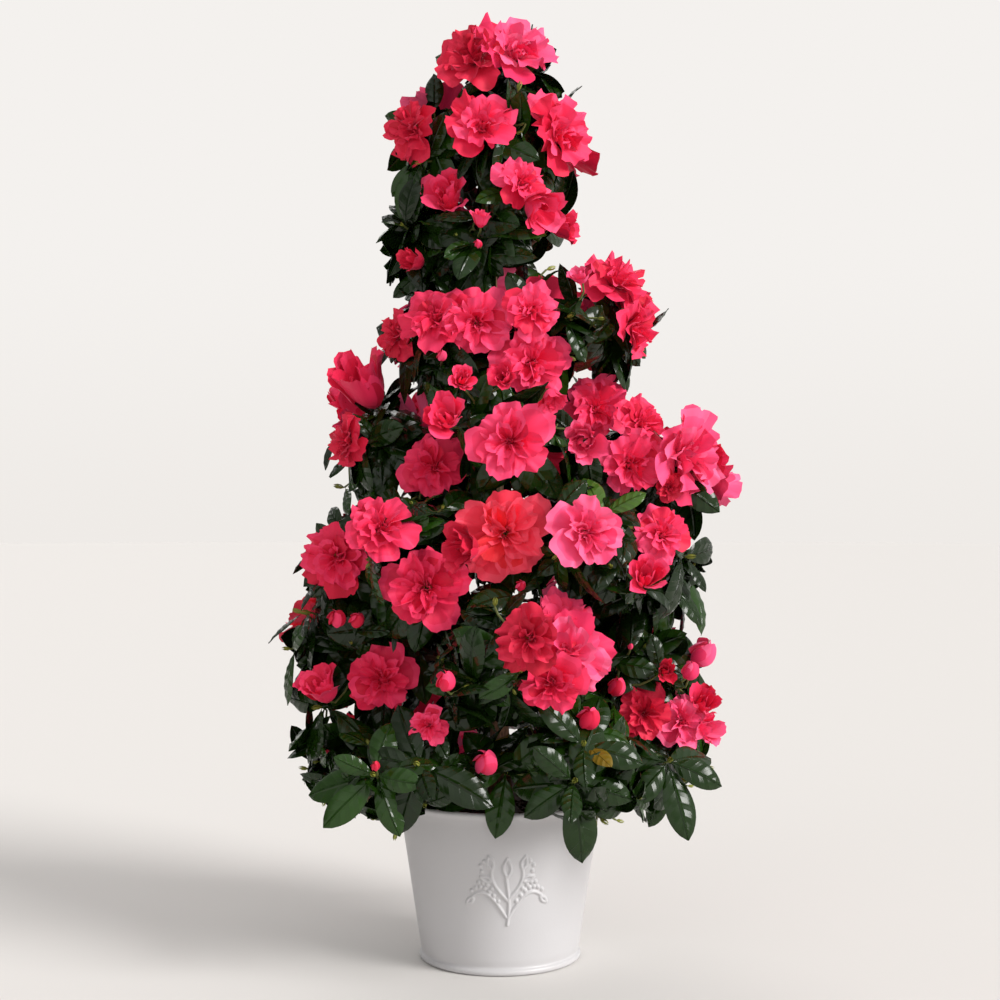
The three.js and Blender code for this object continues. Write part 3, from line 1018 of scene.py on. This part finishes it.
def flowersElsewhere(spots, already):
    # Shoots end in one to three flowers, which face a little away from each other
    made, clusters = [], crown["clusterSizes"]
    free = [s for s in spots if s["normal"].dot(front) < crown["frontFacing"] and s["normal"].z > -0.5]
    free = [s for s in free if s["point"].z > crown["lowestFlower"] or s["normal"].dot(front) < -0.5]
    free = [s for s in free if 0.7 * crown["lowestFlower"] < s["point"].z < crown["highestFlower"]]
    taken = [f["base"] for f in already if f["kind"] != "bud"]
    for spot in thinned(free, crown["flowerSpacing"], taken):
        aim = (spot["normal"] + up * between(-0.1, 0.4) + Vector(luck.normal(0, 0.12, 3))).normalized()
        count = int(luck.choice(list(clusters), p=list(clusters.values())))
        side = Matrix.Rotation(between(0, math.tau), 3, aim) @ aim.orthogonal().normalized()
        for i in range(count):
            leading = i == 0 and luck.random() < 0.85
            kind = "open" if leading else str(luck.choice(list(flowerKinds)))
            widths = {name: between(*traits["chance"]) for name, traits in flowerKinds.items()}
            size = widths[kind] * mm
            away = side * (0 if i == 0 else -1 if i == 1 else 1)
            facing = (aim + away * 0.6).normalized()
            point = spot["point"] + away * crown["clusterStep"] - aim * crown["clusterSunk"]
            deep = flowerKinds[kind]["middle"] + max(flowerKinds[kind]["sunk"], 0)
            base = point - facing * deep * size
            tone = str(luck.choice(list(chanceTones), p=list(chanceTones.values())))
            made.append(newFlower(kind, spot["node"], base, facing, size, tone))
    return made


def flowerTable(flowers):
    # Foot, axis, height and radius of the space that each flower keeps free of leaves
    size = np.array([f["size"] for f in flowers])
    reach, tall = ([flowerKinds[f["kind"]][trait] for f in flowers] for trait in ("reach", "tall"))
    return {
        "foot": np.array([f["base"] for f in flowers]),
        "axis": np.array([f["aim"] for f in flowers]),
        "size": size,
        "reach": np.array(reach) * size,
        "tall": np.array(tall) * size,
    }


def clearOfFlowers(point):
    away = np.array(point) - keepFree["foot"]
    height = (away * keepFree["axis"]).sum(1)
    aside = np.linalg.norm(away - keepFree["axis"] * height[:, None], axis=1)
    inside = (height > 0.06 * keepFree["size"]) & (height < keepFree["tall"]) & (aside < keepFree["reach"])
    return not inside.any()


def clearOfView(point):  # not between the eye and a flower on the front
    shrink = viewDistance / (viewDistance + point.y)
    across, height = point.x * shrink, viewHeight + (point.z - viewHeight) * shrink
    aside = np.hypot(keepSeen[:, 0] - across, keepSeen[:, 1] - height)
    return not ((point.y < keepSeen[:, 3]) & (aside < keepSeen[:, 2])).any()


def clearOfPot(point, overRim):  # overRim is for the bare rosettes, whose leaves may hang lower
    away = math.hypot(point.x, point.y)
    if away < rimRadius - 6 * mm:
        return point.z > soilHigh.z + 1 * mm
    if overRim:
        byRim = abs(point.x) < rimRadius + 4 * mm
        lowest = crown["lowestLeaf"] if byRim else crown["lowestSideLeaf"]
        return point.z > lowest and (point.z > potHigh[2] or away > wallRadius(point.z) + 3 * mm)
    if abs(point.x) < rimRadius + crown["clearOfRim"] and point.y < 0:
        return point.z > potHigh[2] + 2 * mm
    return point.z > crown["lowestLeaf"] + max(away - crown["skirtStart"], 0) * crown["skirtRise"]


# Leafy shoots

leafProbes = [  # places on a leaf of length 1 that are kept clear of flowers and pot
    Vector(p) for p in ((0.35, 0, 0), (0.65, 0.16, -0.05), (0.65, -0.16, -0.05), (0.95, 0, -0.18))
]
bands = ("upper", "middle", "lower")
leafPiles = {band: [] for band in bands}


def bandOf(height):
    return bands[sum(height <= step for step in crown["bands"])]


def nodesIn(band):
    return [n for n in foliageNodes if bandOf(massMiddle[n].z) == band]


def endShoot(node, tip, axis, *leaves, **how):  # a leafy shoot that a twig will grow to
    shootEnds[node].append((tip, axis))
    leafyShoot(tip, axis, *leaves, **how)


def leafyShoot(tip, axis, count, opening, size=1.0, young=0.0, overRim=False, always=""):
    # Leaves in a spiral at the end of a shoot, from the lowest, largest and most open one up
    begin = between(0, math.tau)
    tone = leafTones[luck.choice(3, p=leaf["toneShares"])]
    if luck.random() < young:
        tone = "leaf_young"
    tone = leafTones.index(always or tone)
    for i in range(count):
        share = i / max(count - 1, 1)
        angle = math.radians(opening[0] + (opening[1] - opening[0]) * share ** 1.3 + between(-8, 8))
        length = between(*leaf["length"]) * size * (1 - leaf["lastShorter"] * share ** 2)
        base = tip - axis * (1 - share) * leaf["crowded"]
        turn = begin + i * math.radians(leaf["turn"]) + between(-0.2, 0.2)
        place = leafPlace(base, axis, turn, angle, length)
        way = place.to_3x3() @ Vector((1, 0, 0))
        place = droop(place, base, way, 0.12 + 0.24 * (1 - share))
        shape = leafShapes[luck.integers(len(leafShapes))]
        blade = [place @ point for point in leafProbes]
        clear = all(clearOfPot(p, overRim) and clearOfFlowers(p) and clearOfView(p) for p in blade)
        if clear and (overRim or inCrown(blade[-1], crown["leafOutside"])):
            addCopy(leafPiles[bandOf(tip.z)], shape, place, [tone])


def droop(place, base, way, sag):  # turns a leaf's tip down under its own weight
    flat = Vector((way.x, way.y, 0))
    if flat.length < 1e-4:
        return place
    hinge = flat.normalized().cross(up)
    turn = Matrix.Rotation(-sag * flat.length / max(way.length, 1e-6), 4, hinge)
    return Matrix.Translation(base) @ turn @ Matrix.Translation(-base) @ place


# Twigs

twigPile = []
twig = {
    "sides": 5,
    "steps": 4,
    "tipRadius": 0.75 * mm,
    "growth": 0.46,  # the radius grows as this power of the number of tips it feeds
    "swell": 1.15,  # how much thicker it is at its foot
    "fork": 0.42,  # how far towards its tips' middle it forks
    "wander": 0.06,  # how far a fork strays, of the way to that middle
    "leafyForks": 0.7,  # how many of the finer forks bear leaves
    "tones": ("#5c4029", "#5d6430"),
}


def addTwig(start, end, headStart, headEnd, tips, radiusEnd, tone):
    radiusStart = twigRadius(tips) * twig["swell"]
    tube = tubeShape(start, end, headStart, headEnd, radiusStart, radiusEnd, twig["steps"])
    addCopy(twigPile, tube, Matrix.Identity(4), [tone])


def twigRadius(tips):
    return twig["tipRadius"] * tips ** twig["growth"]


def tubeShape(start, end, headStart, headEnd, radiusStart, radiusEnd, steps):
    # A tapered tube along a smooth curve that leaves one way and arrives another
    reach = (end - start).length
    pathPoints = []
    for t in np.linspace(0, 1, steps + 1):
        a = start + headStart * reach * 0.4
        b = end - headEnd * reach * 0.35
        s = 1 - t
        pathPoints.append(start * s ** 3 + a * 3 * s * s * t + b * 3 * s * t * t + end * t ** 3)
    path = np.array(pathPoints)
    tangent = np.gradient(path, axis=0)
    tangent /= np.linalg.norm(tangent, axis=1)[:, None]
    first = np.array(headStart.orthogonal().normalized())

    def place(u, t):
        row = np.rint(t * steps).astype(int)
        angle = (u + 1) * np.pi
        along = tangent[row]
        side = first - along * (along @ first)[:, None]
        side /= np.linalg.norm(side, axis=1)[:, None]
        other = np.cross(along, side)
        radius = radiusStart + (radiusEnd - radiusStart) * t
        ring = side * np.cos(angle)[:, None] + other * np.sin(angle)[:, None]
        return (path[row] + ring * radius[:, None]).T

    return gridShape(twig["sides"], steps, place)


def growTwigs(start, heading, ends, level=0):
    # The branching rule: a shoot heads for the middle of the tips it feeds, then forks in two
    if len(ends) == 1:
        tip, axis = ends[0]
        addTwig(start, tip, heading, axis, 1, twig["tipRadius"], 0 if level < 4 else 1)
        return
    tips = np.array([e[0] for e in ends])
    middle = Vector(tips.mean(0))
    fork = start.lerp(middle, twig["fork"] * between(0.8, 1.2))
    fork += Vector(luck.normal(0, twig["wander"], 3)) * (middle - start).length
    way = (fork - start).normalized()
    addTwig(start, fork, heading, way, len(ends), twigRadius(len(ends) / 1.6), 0)
    if level >= 2 and luck.random() < twig["leafyForks"]:
        leafyShoot(fork, (way + up * 0.4).normalized(), 3, (95, 70), 0.95)
    spread = tips - np.array(fork)
    axis = np.linalg.svd(spread - spread.mean(0))[2][0]
    order = np.argsort(spread @ axis)
    cut = int(np.clip(round(len(ends) * between(0.35, 0.65)), 1, len(ends) - 1))
    for group in (order[:cut], order[cut:]):
        growTwigs(fork, way, [ends[i] for i in group], level + 1)


def massRoot(node):  # where the wood enters a mass, and which way it heads
    bough = node.replace("foliage", "bough")
    if bough in boughNodes:
        path = boughPath(bough, 12)
        return path[-1], (path[-1] - path[-2]).normalized()
    middle = massMiddle[node]
    start = stemAt(min(max(middle.z - 24 * mm, stemTable[0, 0]), stemTable[-1, 0]))
    out = Vector((middle.x, middle.y, 0)) - Vector((start.x, start.y, 0))
    return start, (out.normalized() + up * 0.9).normalized() if out.length > 8 * mm else up


# Build everything

makePot()
makeSoil()
makeWood()

spots = surfaceSpots(9 * mm)
flowers = flowersInFront()
flowers += flowersElsewhere(spots, flowers)
keepFree = flowerTable(flowers)
keepSeen = np.array([(*f["seen"], f["base"].y) for f in flowers if "seen" in f])
print(f"{len(flowers)} flowers and buds, {len(spots)} places on the crown")

scalePile = []
shootEnds = {node: [] for node in foliageNodes}
for across, height, turn, tilt in bareRosettes:
    point, way, node, _ = onFront(across, height)
    tip, axis = point + way * 10 * mm, faceWay(turn, tilt)
    endShoot(node, tip, axis, 7, (104, 62), 1.05, overRim=True)
    addCopy(scalePile, tuftShape, placed(tip, axis, 0, 3.6 * mm), [0])

for across, height, turn in fadedLeaves:
    point, way, node, _ = onFront(across, height)
    endShoot(node, point + way * 14 * mm, faceWay(turn, 30), 2, (80, 50), 0.8, always="leaf_faded")

taken = [f["base"] + f["aim"] * f["size"] * 0.3 for f in flowers if f["kind"] != "bud"]
taken += [onFront(across, height)[0] for across, height, _, _ in bareRosettes]
shoots = thinned(spots, crown["shootSpacing"], taken)
shoots = [s for s in shoots if clearOfFlowers(s["point"]) and s["point"].z < crown["highestShoot"]]
print(f"{len(shoots)} leafy shoots on the outside")
for shoot in shoots:
    away = Vector((shoot["point"].x, shoot["point"].y, 0)).normalized()
    lean = Vector(luck.normal(0, 0.14, 3))
    axis = (shoot["normal"] * 0.8 + away * 0.25 + up * between(0.05, 0.4) + lean).normalized()
    tip = shoot["point"] - shoot["normal"] * between(*crown["shootDepth"])
    count = int(luck.integers(*crown["leavesOnShoot"], endpoint=True))
    endShoot(shoot["node"], tip, axis, count, (102, 48), between(0.82, 1.06), young=0.04)
    addCopy(scalePile, tuftShape, placed(tip, axis, between(0, math.tau), between(2, 3.6) * mm), [0])

for node in foliageNodes:
    own = [s for s in shoots if s["node"] == node]
    for _ in range(crown["innerShoots"] if own else 0):
        spot = own[luck.integers(len(own))]
        tip = massMiddle[node].lerp(spot["point"], between(0.2, 0.66))
        axis = (spot["normal"] + up * 0.5 + Vector(luck.normal(0, 0.4, 3))).normalized()
        endShoot(node, tip, axis, 5, (100, 60))

flowerPiles = {band: [] for band in bands}
petalTones = list(bloom["tones"])
for flower in flowers:
    shapes = bloomShapes[flower["kind"]]
    shape = shapes[luck.integers(len(shapes))]
    place = placed(flower["base"], flower["aim"], between(0, math.tau), flower["size"])
    first = petalTones.index(flower["tone"]) * 4
    pile = flowerPiles[bandOf(flower["base"].z)]
    addCopy(pile, shape, place, [first, first + 1, first + 2, first + 3])
    girth = max(flowerKinds[flower["kind"]]["calyx"] * flower["size"], 9 * mm)
    addCopy(scalePile, calyxShape, placed(flower["base"], flower["aim"], 0, girth), [0])
    shootEnds[flower["node"]].append((flower["base"], flower["aim"]))
    stalk = flower["base"] - flower["aim"] * 6 * mm
    count = int(luck.integers(*crown["leavesUnderFlower"], endpoint=True))
    leafyShoot(stalk, flower["aim"], count, (108, 72) if flower["kind"] != "bud" else (104, 58), 1.0)

for node in foliageNodes:
    start, heading = massRoot(node)
    if shootEnds[node]:
        growTwigs(start, heading, shootEnds[node])

leafMaterials = [leafCuticle(name, tone) for name, tone in leaf["tones"].items()]
# Each tone's rim is partly a painted highlight, and its foot and throat are partly painted shade.
petalMaterials = [
    petalTissue(f"petal_{name}_{where}", tone)
    for name, tones in bloom["tones"].items()
    for where, tone in zip(("blade", "rim_and_highlight", "foot", "throat_and_shade"), tones)
]
scaleMaterials = [plainTissue("bud_scale", scale["tone"], 0.5)]
twigMaterials = [
    plainTissue("twig_brown", twig["tones"][0], 0.7),
    plainTissue("twig_green", twig["tones"][1], 0.6),
]
for band, pile in leafPiles.items():
    pieceOf("leaves_" + band, pile, leafMaterials, nodesIn(band))
for band, pile in flowerPiles.items():
    pieceOf("petals_" + band, pile, petalMaterials, nodesIn(band))
pieceOf("twigs", twigPile, twigMaterials, foliageNodes)
pieceOf("bud_scales", scalePile, scaleMaterials, foliageNodes)


# The stage: a pale floor, soft lights, and the camera

stage = {
    "floor": "#dbd8d5",
    "farFloor": "#efebe7",  # where the floor passes into the wall
    "wall": "#f4f1ee",
    "floorRadius": 12,
    "roomTint": "#f4f3f2",
    "dim": 0.2,  # the room's light from low on the left
    "bright": 0.74,  # and from high on the right
    "lens": 60,
    "suns": {  # from where, how wide in degrees, how strong, and the light's tint
        "window": ((1.7, -1.05, 1.15), 26, 3.1, "#fffdfb"),
        "fill": ((-0.5, -1.5, 0.7), 60, 0.42, "#fffdfb"),
        "behind": ((-0.6, 1.8, 1.4), 40, 0.7, "#fffcfa"),
    },
}


def makeFloor():
    shape = bmesh.new()
    bmesh.ops.create_circle(shape, cap_ends=True, segments=96, radius=stage["floorRadius"])
    mesh = bpy.data.meshes.new("floor")
    shape.to_mesh(mesh)
    shape.free()
    matt = {"Roughness": 0.85, "Base Color": colourOf(stage["floor"])}
    mesh.materials.append(newMaterial("matt_floor", matt)[0])
    floor = addObject("floor", mesh)
    floor.location.z = -0.2 * mm


def addSun(name, way, spread, strength, colour):  # a far wide window: its light doesn't fall off
    lamp = bpy.data.lights.new(name, "SUN")
    lamp.angle = math.radians(spread)
    lamp.energy = strength
    lamp.color = colourOf(colour)[:3]
    light = addObject(name, lamp)
    light.location = way
    light.rotation_euler = (-Vector(way)).to_track_quat("-Z", "Y").to_euler()


def makeRoom():
    world = bpy.data.worlds.new("room")
    world.use_nodes = True
    tree = world.node_tree
    tree.nodes.clear()
    direction = addNode(tree, "TexCoord").outputs["Generated"]
    axes = addNode(tree, "SeparateXYZ", {}, {0: direction}).outputs

    # The room is lighter to the right and overhead than to the left, which shapes the pot and the
    # leaves' glints.
    lighter = addMath(tree, "MULTIPLY_ADD", axes["X"], 0.8, axes["Z"])
    dealt = {"From Min": -0.8, "From Max": 1.2, "To Min": stage["dim"], "To Max": stage["bright"]}
    ambience = addNode(tree, "MapRange", dealt, {"Value": lighter})
    tint = {"Color": colourOf(stage["roomTint"])}
    roomLight = addNode(tree, "Background", tint, {"Strength": ambience.outputs[0]})

    # What the camera sees behind the plant passes from the far floor to the wall.
    lift = {"From Min": -0.04, "From Max": 0.16, "interpolation_type": "SMOOTHSTEP"}
    height = addNode(tree, "MapRange", lift, {0: axes["Z"]})
    colours = {"data_type": "RGBA", 6: colourOf(stage["farFloor"]), 7: colourOf(stage["wall"])}
    sweep = addNode(tree, "Mix", colours, {"Factor": height.outputs[0]})
    backdrop = addNode(tree, "Background", {"Strength": 1}, {"Color": sweep.outputs[2]})

    seen = addNode(tree, "LightPath").outputs["Is Camera Ray"]
    both = addNode(tree, "MixShader", {}, {0: seen, 1: roomLight.outputs[0], 2: backdrop.outputs[0]})
    addNode(tree, "OutputWorld", {}, {"Surface": both.outputs[0]})
    bpy.context.scene.world = world


makeFloor()
makeRoom()
for name, sun in stage["suns"].items():
    addSun(name, *sun)
bpy.context.scene.view_settings.view_transform = "Standard"

camera = addObject("camera", bpy.data.cameras.new("camera"))
camera.data.lens = stage["lens"]
camera.location = (0, -viewDistance, viewHeight)
camera.rotation_euler = (math.radians(90), 0, 0)
bpy.context.scene.camera = camera
